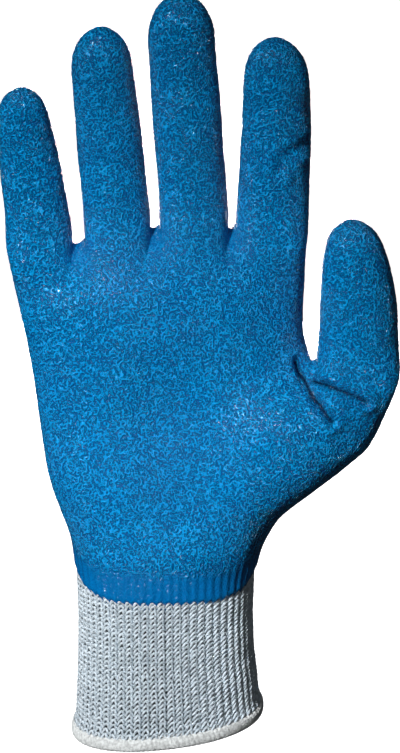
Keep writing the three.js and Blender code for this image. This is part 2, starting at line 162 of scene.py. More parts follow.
def digit_ring(digit, share, narrowed):
    taper = np.interp(share, DIGIT_UP, DIGIT_TAPER)
    half_width = narrowed * lerp(digit["root"], digit["pad"], taper) / 2
    half_depth = narrowed * digit["depth"] * np.interp(share, DIGIT_UP, DIGIT_DEEP) / 2
    squareness = lerp(ROOT_SQUARENESS, TIP_SQUARENESS, smoothstep(share, 0, 0.2))
    bend = digit["bow"] * math.sin(math.pi * share)
    middle_x = digit["root_x"] + digit["lean"] * np.interp(share, DIGIT_UP, DIGIT_LEAN) + bend
    middle_y = digit["root_y"] - digit["curl"] * share**CURL_POWER
    middle_z = (digit["left_crotch"] + digit["crotch"]) / 2 + digit["length"] * share
    capped = CAP_COLUMNS * float(smoothstep(share, CAP_FROM, CAP_TO))
    ring = []
    for spoke in range(SPOKES):
        angle = 2 * math.pi * spoke / SPOKES
        x, y = oval_point(angle, half_width, half_depth, squareness)
        slope = -math.cos(angle) * ((digit["crotch"] - digit["left_crotch"]) / 2 - WEB_TILT)
        rise = (slope - WEB_DROP * abs(math.sin(angle)) ** WEB_ROUNDNESS) * (1 - share) ** 4
        behind = max(0, min(spoke - HALF, SPOKES - spoke)) - capped
        ring.append(add_point(middle_x + x, middle_y + y, middle_z + rise, behind))
    return ring


def add_digit(digit):
    dome = DOME_SHARE * digit["pad"] / digit["length"]
    shaft_rows, dome_rows, last_gap = 10, 4, 0.6
    crowding = 1.1
    shares = [(1 - dome) * (row / shaft_rows) ** crowding for row in range(shaft_rows + 1)]
    rings = [digit_ring(digit, share, 1) for share in shares]
    for row in range(1, dome_rows + 1):
        height = math.sin(math.pi / 2 * row / (dome_rows + last_gap))
        narrowed = math.sqrt(1 - height**DOME_ROUNDNESS)
        rings.append(digit_ring(digit, 1 - dome * (1 - height), narrowed))
    for lower, upper in zip(rings, rings[1:]):
        add_band(lower, upper)
    tip_z = (digit["left_crotch"] + digit["crotch"]) / 2 + digit["length"]
    tip_x, tip_y = digit["root_x"] + digit["lean"], digit["root_y"] - digit["curl"]
    tip = add_point(tip_x, tip_y, tip_z, -CAP_COLUMNS)
    last = rings[-1]
    for i in range(0, SPOKES, 2):
        net_faces.append((last[i], last[i + 1], last[(i + 2) % SPOKES], tip))
    digit["rings"] = rings
    digit["root_ring"] = rings[0]


def add_saddle(left, right):
    """The web between two neighbours, in two faces that meet on its crest."""
    net_faces.append((left[0], right[0], right[1], left[1]))
    net_faces.append((right[2], left[2], left[1], right[1]))


edge = KNUCKLE_SHIFT - knuckle_width / 2
for place, digit in enumerate(fingers):
    digit["root_x"] = edge + digit["root"] / 2
    digit["root_y"] = 0.0
    digit["left_crotch"] = fingers[place - 1]["crotch"] if place else digit["crotch"]
    edge += digit["root"] + digit["gap"]
fork_left = KNUCKLE_SHIFT + FORK_SHIFT - UPPER_WIDE[0] * knuckle_width / 2
fork_right = fork_left + UPPER_WIDE[0] * knuckle_width + FORK_GAP + thumb["root"]
thumb["left_crotch"] = FORK_HEIGHT
thumb["root_x"] = fork_right - thumb["root"] / 2
thumb["root_y"] = -THUMB_FORWARD
for digit in digits:
    add_digit(digit)

# The palm above the fork joins the four fingers. From a share of its height it bends to their roots.
UPPER_ROWS = 12
UPPER_SQUARENESS = 2.7
UPPER_BENDS_FROM = 0.45
UPPER_PARTS_FROM = 0.62
upper_columns = (HALF - 1) * len(fingers)
front = [point for digit in fingers for point in digit["root_ring"][1:HALF]]
back = [point for digit in reversed(fingers) for point in digit["root_ring"][HALF + 1 :]]
knuckle_ring = [fingers[0]["root_ring"][0], *front, fingers[3]["root_ring"][HALF], *back]
upper_rings = []
for up in np.linspace(0, 1, UPPER_ROWS):
    if up == 1:
        upper_rings.append(knuckle_ring)
        break
    wide = np.interp(up, UPPER_UP, UPPER_WIDE)
    middle = KNUCKLE_SHIFT + FORK_SHIFT * np.interp(up, UPPER_UP, UPPER_SHIFT)
    deep = np.interp(up, UPPER_UP, UPPER_DEEP) * PALM_DEPTH
    oval = oval_ring(upper_columns, wide * knuckle_width / 2, deep / 2, UPPER_SQUARENESS)
    blend = float(smoothstep(up, UPPER_BENDS_FROM, 1))
    parted = float(smoothstep(up, UPPER_PARTS_FROM, 1))
    ring = []
    for i, (x, y) in enumerate(oval):
        goal = net_points[knuckle_ring[i]]
        behind = max(0, min(i - upper_columns - 1, len(oval) - i))
        goal_x = middle + wide * (goal[0] - KNUCKLE_SHIFT)
        height = lerp(FORK_HEIGHT, goal[2], up)
        ring.append(add_point(lerp(middle + x, goal_x, blend), lerp(y, goal[1], parted), height, behind))
    upper_rings.append(ring)
for lower, upper in zip(upper_rings, upper_rings[1:]):
    add_band(lower, upper)
for left, right in zip(fingers, fingers[1:]):
    left_ring, right_ring = left["root_ring"], right["root_ring"]
    add_saddle(
        (left_ring[HALF - 1], left_ring[HALF], left_ring[HALF + 1]),
        (right_ring[1], right_ring[0], right_ring[SPOKES - 1]),
    )

# The palm below the fork takes in the thumb and runs down to the wrist, and on under the cuff.
LOWER_ROWS = 19
ROWS_UNDER_CUFF = (-0.18, -0.12, -0.06)
WRIST_SQUARENESS = 2.2
FORK_SQUARENESS = 2.6
WRIST_DEEP_TO = 0.3
THUMB_SIDE_FROM = 0.5
THUMB_SIDE_TO = 0.92
LOWER_BENDS_FROM = 0.5
LOWER_PARTS_FROM = 0.72
lower_columns = (HALF - 1) * len(digits)
fork_ring = upper_rings[0]
thumb_ring = thumb["root_ring"]
top_ring = [*fork_ring[: upper_columns + 1], *thumb_ring[1:], *fork_ring[upper_columns + 2 :]]


def lower_sides(up):
    return (
        lerp(WRIST_SHIFT - WRIST_WIDTH / 2, fork_left, np.interp(up, LOWER_UP, LOWER_LEFT)),
        lerp(WRIST_SHIFT + WRIST_WIDTH / 2, fork_right, np.interp(up, LOWER_UP, LOWER_RIGHT)),
    )


def lower_oval(up):
    left, right = lower_sides(up)
    deep = np.interp(up, LOWER_UP, LOWER_DEEP) * PALM_DEPTH
    half_depth = lerp(WRIST_DEPTH, deep, float(smoothstep(up, 0, WRIST_DEEP_TO))) / 2
    squareness = lerp(WRIST_SQUARENESS, FORK_SQUARENESS, max(0, up))
    oval = oval_ring(lower_columns, (right - left) / 2, half_depth, squareness)
    across = 0.5 + oval[:, 0] / (right - left)
    thumb_side = smoothstep(across, THUMB_SIDE_FROM, THUMB_SIDE_TO)
    forward = THUMB_FORWARD * np.interp(up, LOWER_UP, LOWER_FORWARD) * thumb_side
    return np.column_stack([(left + right) / 2 + oval[:, 0], oval[:, 1] - forward])


lower_rings = []
for up in [*ROWS_UNDER_CUFF, *np.linspace(0, 1, LOWER_ROWS)]:
    if up == 1:
        lower_rings.append(top_ring)
        break
    blend = float(smoothstep(up, LOWER_BENDS_FROM, 1))
    parted = float(smoothstep(up, LOWER_PARTS_FROM, 1))
    oval = lower_oval(up)
    sides, top_sides = lower_sides(up), lower_sides(1)
    ring = []
    for i, (x, y) in enumerate(oval):
        goal = net_points[top_ring[i]]
        share = (goal[0] - top_sides[0]) / (top_sides[1] - top_sides[0])
        behind = max(0, min(i - lower_columns - 1, len(oval) - i))
        height = lerp(CUFF_TOP, FORK_HEIGHT, up) + (goal[2] - FORK_HEIGHT) * blend
        goal_x = lerp(*sides, share)
        ring.append(add_point(lerp(x, goal_x, blend), lerp(y, goal[1], parted), height, behind))
    lower_rings.append(ring)
for lower, upper in zip(lower_rings, lower_rings[1:]):
    add_band(lower, upper)
add_saddle(
    (fork_ring[upper_columns], fork_ring[upper_columns + 1], fork_ring[upper_columns + 2]),
    (thumb_ring[1], thumb_ring[0], thumb_ring[SPOKES - 1]),
)

net_points = np.array(net_points)
net_faces = np.array(net_faces)


def face_normals_at_points(points, faces):
    a, b, c, d = (points[faces[:, k]] for k in range(4))
    normal = np.cross(c - a, d - b)
    total = np.zeros_like(points)
    for k in range(4):
        np.add.at(total, faces[:, k], normal)
    return total / np.maximum(np.linalg.norm(total, axis=1, keepdims=True), 1e-9)


def limit_places(points, faces):
    """Where subdivision brings each corner of the net."""
    count = np.zeros(len(points))
    beside = np.zeros_like(points)
    across = np.zeros_like(points)
    for k in range(4):
        corner = faces[:, k]
        np.add.at(count, corner, 1)
        np.add.at(beside, corner, points[faces[:, (k + 1) % 4]] + points[faces[:, (k + 3) % 4]])
        np.add.at(across, corner, points[faces[:, (k + 2) % 4]])
    n = np.maximum(count, 3)[:, None]
    placed = (n * n * points + 2 * beside + across) / (n * (n + 5))
    return np.where((count >= 3)[:, None], placed, points)


# The knit stretches over the webs, which rounds the grooves between the fingers.
GROOVE_BELOW_WEB = 8
GROOVE_STRETCH = 1.4
GROOVE_ROUNDING = 0.75
web_places = [(thumb["root_x"] - thumb["root"] / 2, FORK_HEIGHT)]
for left, right in zip(fingers, fingers[1:]):
    web_x = (left["root_x"] + left["root"] / 2 + right["root_x"] - right["root"] / 2) / 2
    web_places.append((web_x, left["crotch"]))


def nearness(points, webs, spread, drop):
    """How near points lie to one of some webs, from 0 to 1 on it."""
    near = np.zeros(len(points))
    for x, z in webs:
        away = np.hypot(points[:, 0] - x, (points[:, 2] - z + drop) / GROOVE_STRETCH) / spread
        near = np.maximum(near, np.exp(-(away**2)))
    return near


for _ in range(3):
    beside, count = np.zeros(len(net_points)), np.zeros(len(net_points))
    for k in range(4):
        for other in (1, 3):
            np.add.at(beside, net_faces[:, k], net_points[net_faces[:, (k + other) % 4], 1])
            np.add.at(count, net_faces[:, k], 1)
    share = GROOVE_ROUNDING * nearness(net_points, web_places, WEB_SPREAD, GROOVE_BELOW_WEB)
    net_points[:, 1] = lerp(net_points[:, 1], beside / np.maximum(count, 1), share)

# Pads and hollows rise in full where the skin faces the palm side.
FACING_IN_FULL = 0.7
relief_normals = face_normals_at_points(net_points, net_faces)
facing = smoothstep(-relief_normals[:, 1], 0, FACING_IN_FULL)
for across, up, spread, rise in palm_relief:
    away = np.hypot(net_points[:, 0] - across, net_points[:, 2] - up) / spread
    net_points = net_points + relief_normals * (rise * facing * np.exp(-(away**2)))[:, None]

# Subdivision draws the skin inwards, so the net is pushed out until the rounded skin lies as wanted.
PUSH = 0.8
wanted_points = net_points.copy()
open_ring = np.array(lower_rings[0])
for _ in range(3):
    shifted = net_points + PUSH * (wanted_points - limit_places(net_points, net_faces))
    shifted[open_ring] = wanted_points[open_ring]
    net_points = shifted


def smooth_skin(levels):
    """The net rounded by subdivision: points, faces, and how far round the back each point lies."""
    mesh = bpy.data.meshes.new("skin_net")
    mesh.from_pydata(net_points.tolist(), [], net_faces.tolist())
    behind = mesh.attributes.new("behind", "FLOAT", "POINT")
    behind.data.foreach_set("value", np.array(net_behind, np.float32))
    net = bpy.data.objects.new("skin_net", mesh)
    bpy.context.scene.collection.objects.link(net)
    rounding = net.modifiers.new("rounding", "SUBSURF")
    rounding.levels = levels
    rounding.subdivision_type = "CATMULL_CLARK"
    depsgraph = bpy.context.evaluated_depsgraph_get()
    rounded = bpy.data.meshes.new_from_object(net.evaluated_get(depsgraph))
    points = np.empty(len(rounded.vertices) * 3)
    rounded.vertices.foreach_get("co", points)
    faces = np.empty(len(rounded.loops), int)
    rounded.loops.foreach_get("vertex_index", faces)
    spread = np.empty(len(rounded.vertices))
    rounded.attributes["behind"].data.foreach_get("value", spread)
    bpy.data.objects.remove(net)
    return points.reshape(-1, 3), faces.reshape(-1, 4), spread


def mesh_piece(name, points, faces, material, material_slot):
    """A smooth-shaded piece of the glove from points in millimetres, and which of them it uses."""
    used, faces = np.unique(faces, return_inverse=True)
    mesh = bpy.data.meshes.new(name)
    mesh.from_pydata((points[used] / 1000).tolist(), [], faces.reshape(-1, 4).tolist())
    mesh.polygons.foreach_set("use_smooth", [True] * len(mesh.polygons))
    mesh.materials.append(material)
    piece = bpy.data.objects.new(name, mesh)
    bpy.context.scene.collection.objects.link(piece)
    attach(piece, "root")
    return piece, used


# The liner is a seamless knit of thick cotton and polyester yarn, whose inside lies on the hand.
# Here are its inner face and the ground between its stitches, which shows bare on the back. The ground is
# coloured near black: painted shade between the stitches.
LATEX_WALL = 1.0
KNIT_WALL = 1.4
INNER_CLEARANCE = 0.2
GROUND_DEPTH = 1.9
BACK_FROM = 0.3
OVER_CUFF = 1
LINER_GREY = (0.38, 0.44, 0.49, 1)
LINER_SHADE = (0.16, 0.19, 0.22, 1)
GROUND_PAINTED_SHADE = (0.05, 0.06, 0.07, 1)


def new_material(name, colour, roughness):
    material = bpy.data.materials.new(name)
    material.use_nodes = True
    shader = material.node_tree.nodes["Principled BSDF"]
    shader.inputs["Base Color"].default_value = colour
    shader.inputs["Roughness"].default_value = roughness
    return material, material.node_tree.nodes, material.node_tree.links, shader


def speckle(nodes, links, grains, detail):
    """Noise that is fixed to the piece, with so many grains to the metre."""
    place = nodes.new("ShaderNodeTexCoord")
    grain = nodes.new("ShaderNodeTexNoise")
    grain.inputs["Scale"].default_value = grains
    grain.inputs["Detail"].default_value = detail
    links.new(place.outputs["Object"], grain.inputs["Vector"])
    return grain


def add_bump(nodes, links, shader, height, strength, distance):
    bump = nodes.new("ShaderNodeBump")
    bump.inputs["Strength"].default_value = strength
    bump.inputs["Distance"].default_value = distance
    links.new(height, bump.inputs["Height"])
    links.new(bump.outputs["Normal"], shader.inputs["Normal"])


# Fibres: grains to each one of the yarn's colour, and the height of their bump in metres.
FIBRE_FINENESS = 3.2
FIBRE_STRENGTH = 0.7
FIBRE_HEIGHT = 0.0003


def melange(name, dark, light, grains, roughness):
    """Spun yarn of mixed fibres: uneven in colour, with a fine hairy surface."""
    material, nodes, links, shader = new_material(name, light, roughness)
    shader.inputs["Specular IOR Level"].default_value = 0.15
    shader.inputs["Sheen Weight"].default_value = 0.25
    shader.inputs["Sheen Roughness"].default_value = 0.6
    mixed = speckle(nodes, links, grains, 4)
    ramp = nodes.new("ShaderNodeValToRGB")
    ramp.color_ramp.elements[0].position = 0.36
    ramp.color_ramp.elements[0].color = dark
    ramp.color_ramp.elements[1].position = 0.6
    ramp.color_ramp.elements[1].color = light
    links.new(mixed.outputs["Fac"], ramp.inputs["Fac"])
    links.new(ramp.outputs["Color"], shader.inputs["Base Color"])
    fibres = speckle(nodes, links, grains * FIBRE_FINENESS, 3)
    add_bump(nodes, links, shader, fibres.outputs["Fac"], FIBRE_STRENGTH, FIBRE_HEIGHT)
    return material


liner_inside = melange("liner_inside", LINER_SHADE, LINER_GREY, grains=900, roughness=0.95)
inner_points, inner_faces, _ = smooth_skin(1)
inner_normals = face_normals_at_points(inner_points, inner_faces)
inner = inner_points - inner_normals * (LATEX_WALL + KNIT_WALL + INNER_CLEARANCE)
inner_faces = inner_faces[inner_points[inner_faces][:, :, 2].mean(1) > CUFF_TOP + OVER_CUFF]
lining, _ = mesh_piece("liner_inside", inner, inner_faces[:, ::-1], liner_inside, "knit_liner")

ground_points, ground_faces, ground_behind = smooth_skin(2)
ground_normals = face_normals_at_points(ground_points, ground_faces)
ground = ground_points - ground_normals * GROUND_DEPTH
on_back = ground_behind[ground_faces].max(axis=1) > BACK_FROM
over_cuff = ground_points[ground_faces][:, :, 2].mean(1) > CUFF_TOP + OVER_CUFF
# The ground's dark colours are painted shade, standing for the shadow seen between the stitches.
liner_ground_painted_shade = melange("liner_ground_painted_shade", GROUND_PAINTED_SHADE, LINER_SHADE, grains=900, roughness=0.95)
ground_piece, _ = mesh_piece(
    "liner_ground_painted_shade", ground, ground_faces[on_back & over_cuff], liner_ground_painted_shade, "knit_liner"
)
hand_nodes = [f"stall_{digit['name']}" for digit in digits] + ["upper_body", "lower_body"]
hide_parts(*hand_nodes)
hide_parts(*hand_nodes)

# The stitches of the liner on the back of the hand, knitted from the fingertips down. Each course is
# one yarn, and each of its stitches shows as an arrowhead that points up the hand.
YARN_GREY = (0.66, 0.75, 0.81, 1)
YARN_SHADE = (0.38, 0.45, 0.5, 1)
YARN_SIDES = 4
HAND_COURSE = 2.05
HAND_YARN = 0.76
HAND_YARN_DEPTH = 1.75
HAND_YARN_SWING = 0.6
STALL_KNIT_TO = 0.78
LOWER_KNIT_FROM = 0.1
STITCH_SEED = 11

# One stitch: share across its wale, share up its course, and how far the yarn stands out.
stitch_rows = [
    (0.0, -1.0, -2.2),
    (0.1, -0.98, -1.1),
    (0.14, -0.7, -0.35),
    (0.21, -0.38, 0.05),
    (0.34, 0.0, 0.26),
    (0.49, 0.34, 0.32),
    (0.62, 0.52, 0.2),
    (0.74, 0.36, 0.1),
    (0.82, 0.0, 0.05),
    (0.86, -0.42, -0.3),
    (0.9, -0.88, -1.0),
]
stitch_table = np.array(stitch_rows)
chance = np.random.default_rng(STITCH_SEED)

# How uneven the stitches are across, along and outwards. Each point of a yarn follows its own chance
# and its two neighbours', with so much weight on its own, and the sum is brought down to size.
UNEVEN_ACROSS = 0.02
UNEVEN_ALONG = 0.05
UNEVEN_OUT = 0.06
UNEVEN_OWN = 1.6
UNEVEN_TOTAL = 2.2


def stitch_route(wales, courses, closed):
    """The yarns of some courses: wale, course and how far they stand out, each a little uneven."""
    route = np.tile(stitch_table, (wales, 1))
    route[:, 0] += np.repeat(np.arange(wales), len(stitch_table))
    if not closed:
        route = np.vstack([route, [(wales, *stitch_table[0, 1:])]])
    uneven = chance.normal(0, 1, (3, courses, len(route)))
    beside = np.roll(uneven, 1, axis=2) + uneven * UNEVEN_OWN + np.roll(uneven, -1, axis=2)
    uneven = beside / UNEVEN_TOTAL
    wale = route[:, 0] + UNEVEN_ACROSS * uneven[0]
    course = np.arange(courses)[:, None] + route[:, 1] + UNEVEN_ALONG * uneven[1]
    return wale, course, route[:, 2] + UNEVEN_OUT * uneven[2]


def yarn_tubes(centres, outward, radius, closed):
    """Tubes along routes, one for each row of centres."""
    if closed:
        ahead = np.roll(centres, -1, axis=1) - np.roll(centres, 1, axis=1)
    else:
        ahead = np.gradient(centres, axis=1)
    ahead /= np.linalg.norm(ahead, axis=2, keepdims=True)
    up = outward - ahead * (outward * ahead).sum(axis=2, keepdims=True)
    up /= np.linalg.norm(up, axis=2, keepdims=True)
    aside = np.cross(ahead, up)
    turns = 2 * math.pi * (np.arange(YARN_SIDES) + 0.5) / YARN_SIDES
    points = [centres + radius * (math.cos(turn) * up + math.sin(turn) * aside) for turn in turns]
    points = np.stack(points, axis=2)
    rows, steps = centres.shape[:2]
    index = np.arange(rows * steps * YARN_SIDES).reshape(rows, steps, YARN_SIDES)
    following = np.roll(index, -1, axis=1)
    faces = np.stack(
        [index, np.roll(index, -1, axis=2), np.roll(following, -1, axis=2), following], axis=-1
    )
    if not closed:
        faces = faces[:, :-1]
    return points.reshape(-1, 3), faces.reshape(-1, 4)


skin_tree = BVHTree.FromPolygons(ground_points.tolist(), ground_faces.tolist())


def knit_on_sleeve(rings, wale_from, wale_to, reach_from, reach_to):
    """Courses of yarn on a sleeve of rings, from one wale to another and over a reach along it."""
    sleeve = wanted_points[np.array(rings)]
    ring_count, wale_count = sleeve.shape[:2]
    along = np.linalg.norm(np.diff(sleeve, axis=0), axis=2).mean(axis=1)
    travelled = np.concatenate([[0], np.cumsum(along)])
    length = travelled[-1]
    reach = length * (reach_to - reach_from)
    courses = math.ceil(reach / HAND_COURSE)
    wale, course, stand = stitch_route(wale_to - wale_from, courses + 1, False)
    wale = wale + wale_from
    height = length * reach_from + course * reach / courses
    row = np.interp(height, travelled, np.arange(ring_count))
    row_low = np.clip(np.floor(row).astype(int), 0, ring_count - 2)
    row_share = (row - row_low)[..., None]
    wale_low = np.floor(wale).astype(int)
    wale_share = (wale - wale_low)[..., None]
    near, far = wale_low % wale_count, (wale_low + 1) % wale_count
    low = lerp(sleeve[row_low, near], sleeve[row_low, far], wale_share)
    high = lerp(sleeve[row_low + 1, near], sleeve[row_low + 1, far], wale_share)
    rough = lerp(low, high, row_share)
    places, outward = np.empty_like(rough), np.empty_like(rough)
    for i, j in np.ndindex(rough.shape[:2]):
        place, normal, _, _ = skin_tree.find_nearest(Vector(rough[i, j]))
        places[i, j] = place
        outward[i, j] = normal
    for _ in range(2):
        outward[:, 1:-1] = (outward[:, :-2] + outward[:, 1:-1] * 2 + outward[:, 2:]) / 4
    outward /= np.linalg.norm(outward, axis=2, keepdims=True)
    centres = places - outward * (HAND_YARN_DEPTH - HAND_YARN_SWING * stand)[..., None]
    return yarn_tubes(centres, outward, HAND_YARN, False)


def join_meshes(parts):
    """Some meshes as one: their points, and their faces counted on."""
    points, faces, start = [], [], 0
    for part_points, part_faces in parts:
        points.append(part_points)
        faces.append(part_faces + start)
        start += len(part_points)
    return np.vstack(points), np.vstack(faces)


liner_yarn = melange("liner_yarn", YARN_SHADE, YARN_GREY, grains=700, roughness=0.9)
stalls = [
    knit_on_sleeve(digit["rings"], HALF - 1, SPOKES + 1, 0.0, STALL_KNIT_TO) for digit in digits
]
stall_knit, _ = mesh_piece("stall_stitches", *join_meshes(stalls), liner_yarn, "knit_liner")
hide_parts(*hand_nodes[: len(digits)])
under_cuff = len(ROWS_UNDER_CUFF)
bodies = [
    knit_on_sleeve(upper_rings, upper_columns, len(knuckle_ring) + 1, 0.0, 1.0),
    knit_on_sleeve(lower_rings[under_cuff:], lower_columns, len(top_ring) + 1, LOWER_KNIT_FROM, 1.0),
]
body_knit, _ = mesh_piece("body_stitches", *join_meshes(bodies), liner_yarn, "knit_liner")
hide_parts(*hand_nodes[len(digits) :])

# The cuff is knitted with the liner, with elastic laid in: sixty upright ribs of the same stitches,
# drawn together so that each rib stands out. Its top courses run on under the latex.
MOUTH_WIDTH = 66.4
MOUTH_DEPTH = 52.0
HEM_HEIGHT = 4.4
HEM_SIDE_TILT = math.radians(6.5)
HEM_FRONT_TILT = math.radians(9)
CUFF_UP = (0, 0.06, 0.22, 0.42, 0.7, 1)
CUFF_FLARE = (1, 0.55, 0.3, -0.08, -0.25, 0)
CUFF_SHIFT = (1, 0.95, 0.7, 0.2, 0, 0)
CUFF_GREY = (0.68, 0.77, 0.84, 1)
CUFF_SHADE = (0.4, 0.475, 0.53, 1)
RIBS = 60
RIB_CROWN = 0.4
CUFF_COURSE = 1.48
COURSES_UNDER_LATEX = 5
CUFF_YARN = 0.53
CUFF_YARN_DEPTH = 1.7
CUFF_YARN_SWING = 0.8
FIRST_COURSE = 0.3


def cuff_place(angle, share, depth):
    """Places in the cuff: angles round the wrist, a share of its height, and a depth under the skin."""
    flare = np.interp(share, CUFF_UP, CUFF_FLARE)
    half_width = lerp(WRIST_WIDTH, MOUTH_WIDTH, flare) / 2 - depth
    half_depth = lerp(WRIST_DEPTH, MOUTH_DEPTH, flare) / 2 - depth
    power = 2 / WRIST_SQUARENESS
    across = np.sign(np.cos(angle)) * np.abs(np.cos(angle)) ** power
    ahead = np.sign(np.sin(angle)) * np.abs(np.sin(angle)) ** power
    x = -half_width * across + WRIST_SHIFT * (1 - np.interp(share, CUFF_UP, CUFF_SHIFT))
    y = -half_depth * ahead
    low = HEM_HEIGHT + x * math.tan(HEM_SIDE_TILT) + y * math.tan(HEM_FRONT_TILT)
    return np.stack([x, y, lerp(low, CUFF_TOP, share)], axis=-1)


def even_angles(count):
    """Angles that space the cuff's ribs evenly along its girth."""
    fine_steps = 2000
    fine = np.linspace(0, 2 * math.pi, fine_steps + 1)
    ring = cuff_place(fine, 0.5, 0)
    step = np.linalg.norm(np.diff(ring[:, :2], axis=0), axis=1)
    travelled = np.concatenate([[0], np.cumsum(step)])
    return np.interp(np.linspace(0, travelled[-1], count + 1), travelled, fine)


rib_angles = even_angles(RIBS)
cuff_courses = int((CUFF_TOP - HEM_HEIGHT) / CUFF_COURSE)
wale, course, stand = stitch_route(RIBS, cuff_courses + COURSES_UNDER_LATEX, True)
angle = np.interp(np.mod(wale, RIBS), np.arange(RIBS + 1), rib_angles)
crown = RIB_CROWN * np.sin(math.pi * np.mod(wale, 1))
depth = CUFF_YARN_DEPTH - CUFF_YARN_SWING * stand - crown
centres = cuff_place(angle, (course + FIRST_COURSE) / cuff_courses, depth)
well_outside = -10
outward = cuff_place(angle, 0.5, well_outside) - cuff_place(angle, 0.5, 0)
outward[..., 2] = 0
cuff_yarn = melange("cuff_yarn", CUFF_SHADE, CUFF_GREY, grains=800, roughness=0.9)
cuff_points, cuff_faces = yarn_tubes(centres, outward, CUFF_YARN, True)
cuff, _ = mesh_piece("rib_cuff_stitches", cuff_points, cuff_faces, cuff_yarn, "knit_cuff")
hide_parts("rib_cuff")

# The inside of the cuff, where the elastic lies, closes the gaps between the stitches. Its near-black
# colour is painted shade, which darkens the gaps between the ribs.
BACKING_PAINTED_SHADE = (0.12, 0.14, 0.16, 1)
BACKING_DEEP_PAINTED_SHADE = (0.02, 0.025, 0.03, 1)
BACKING_DEPTH = 0.9
BACKING_TO = 1.15
BACKING_ROWS = 24
BACKING_COLUMNS = 180
cuff_inside_painted_shade = melange("cuff_inside_painted_shade", BACKING_DEEP_PAINTED_SHADE, BACKING_PAINTED_SHADE, grains=900, roughness=0.95)
shares = np.linspace(0, BACKING_TO, BACKING_ROWS)
angles = np.linspace(0, 2 * math.pi, BACKING_COLUMNS + 1)[:-1]
backing = np.array([cuff_place(angles, share, CUFF_YARN_DEPTH + BACKING_DEPTH) for share in shares])
index = np.arange(backing[..., 0].size).reshape(len(shares), -1)
around = np.roll(index, -1, axis=1)
backing_faces = np.stack([index[:-1], around[:-1], around[1:], index[1:]], axis=-1).reshape(-1, 4)
cuff_ground, _ = mesh_piece(
    "rib_cuff_ground", backing.reshape(-1, 3), backing_faces, cuff_inside_painted_shade, "knit_cuff"
)
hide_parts("rib_cuff")

# The hem is overlocked: a soft cream thread wrapped slantwise over the cut edge, in a thick roll
# that stands proud of the cuff. The loops of its upper edge bite into the ribs.
HEM_THICKNESS = 3.6
HEM_PROUD = 1.2
HEM_WRAPS = 104
HEM_CREAM = (0.78, 0.81, 0.81, 1)
HEM_SHADE = (0.5, 0.52, 0.52, 1)
HEM_SQUARENESS = 2.5
HEM_CLEARANCE = 0.3
STEPS_PER_WRAP = 16
HEM_SIDES = 22
THREAD_SLANT = 0.45
THREAD_SWING = 0.25
THREAD_ROUNDNESS = 0.7
THREAD_BULGE = 0.13
THREAD_LOOSENESS = 0.1
THREAD_LEVEL = 0.6
PLIES = 5
PLY_HEIGHT = 0.015
BITE = 0.32
BITE_LEVEL = 0.4


def round_the_hem(angles, circle, level):
    """Unevenness that closes on itself. It changes the quicker, the wider its circle in the noise."""
    places = [(circle * math.cos(angle), circle * math.sin(angle), level) for angle in angles]
    return np.array([noise.noise(place) for place in places])


hem_steps = STEPS_PER_WRAP * HEM_WRAPS
angles = np.linspace(0, 2 * math.pi, hem_steps + 1)[:-1]
wraps = np.interp(angles, rib_angles, np.arange(RIBS + 1)) * HEM_WRAPS / RIBS
loose = round_the_hem(angles, circle=8, level=0.5)
swing = round_the_hem(angles, circle=20, level=4.5)
edge_place = cuff_place(angles, 0, 0)
inward = cuff_place(angles, 0, 1) - edge_place
depth = LATEX_WALL + HEM_CLEARANCE - HEM_PROUD + HEM_THICKNESS / 2
hem_points = []
for turn in 2 * math.pi * np.arange(HEM_SIDES) / HEM_SIDES:
    out, up = oval_point(turn, HEM_THICKNESS / 2, HEM_HEIGHT / 2, HEM_SQUARENESS)
    slant = wraps + THREAD_SLANT * math.sin(turn) + THREAD_SWING * swing
    thread = np.abs(np.cos(math.pi * slant)) ** THREAD_ROUNDNESS
    ply = PLY_HEIGHT * np.cos(math.pi * 2 * (PLIES * slant + turn))
    bulge = 1 + (THREAD_BULGE + THREAD_LOOSENESS * loose) * (thread - THREAD_LEVEL) + ply
    bite = BITE * max(0, -math.sin(turn)) ** 2 * (thread - BITE_LEVEL)
    place = edge_place + inward * (depth + out * bulge)[:, None]
    place[:, 2] += -HEM_HEIGHT / 2 - up * bulge + bite
    hem_points.append(place)
hem_points = np.array(hem_points).reshape(-1, 3)
index = np.arange(len(hem_points)).reshape(HEM_SIDES, hem_steps)
above, around = np.roll(index, -1, axis=0), np.roll(index, -1, axis=1)
hem_faces = np.stack([index, around, np.roll(above, -1, axis=1), above], axis=-1).reshape(-1, 4)
hem_thread = melange("hem_thread", HEM_SHADE, HEM_CREAM, grains=1100, roughness=0.9)
hem, _ = mesh_piece("overlock_roll", hem_points, hem_faces, hem_thread, "hem_thread")
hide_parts("overlock_hem")

# The coat is natural latex that the glove is dipped in, palm down. It covers the palm, the sides and
# the fingertips, and its skin is crinkled before it cures. It thins out and soaks into the knit.
# The latex's blue: painted light on the crests of the crinkle and painted shade in its valleys.
LATEX_CREST_PAINTED_LIGHT = (0.0, 0.4, 0.92, 1)
LATEX_VALLEY_PAINTED_SHADE = (0.0, 0.095, 0.32, 1)
# Near-black painted shade inside the deep creases.
LATEX_CREASE_PAINTED_SHADE = (0.0, 0.012, 0.05, 1)
CRUMPLE = 2.2
CRUMPLE_HEIGHT = 0.12
CRINKLE = 1.2
CRINKLE_HEIGHT = 0.1
SWELL = 21
SWELL_HEIGHT = 0.4

# Mounds: how far and how finely they bend, how steeply they rise, and the height that stays level.
MOUND_BEND = 0.45
MOUND_BEND_SIZE = 0.9
MOUND_STEEPNESS = 2.4
MOUND_ROUNDNESS = 0.75
MOUND_LEVEL = 0.6
MOUND_SEED = 5

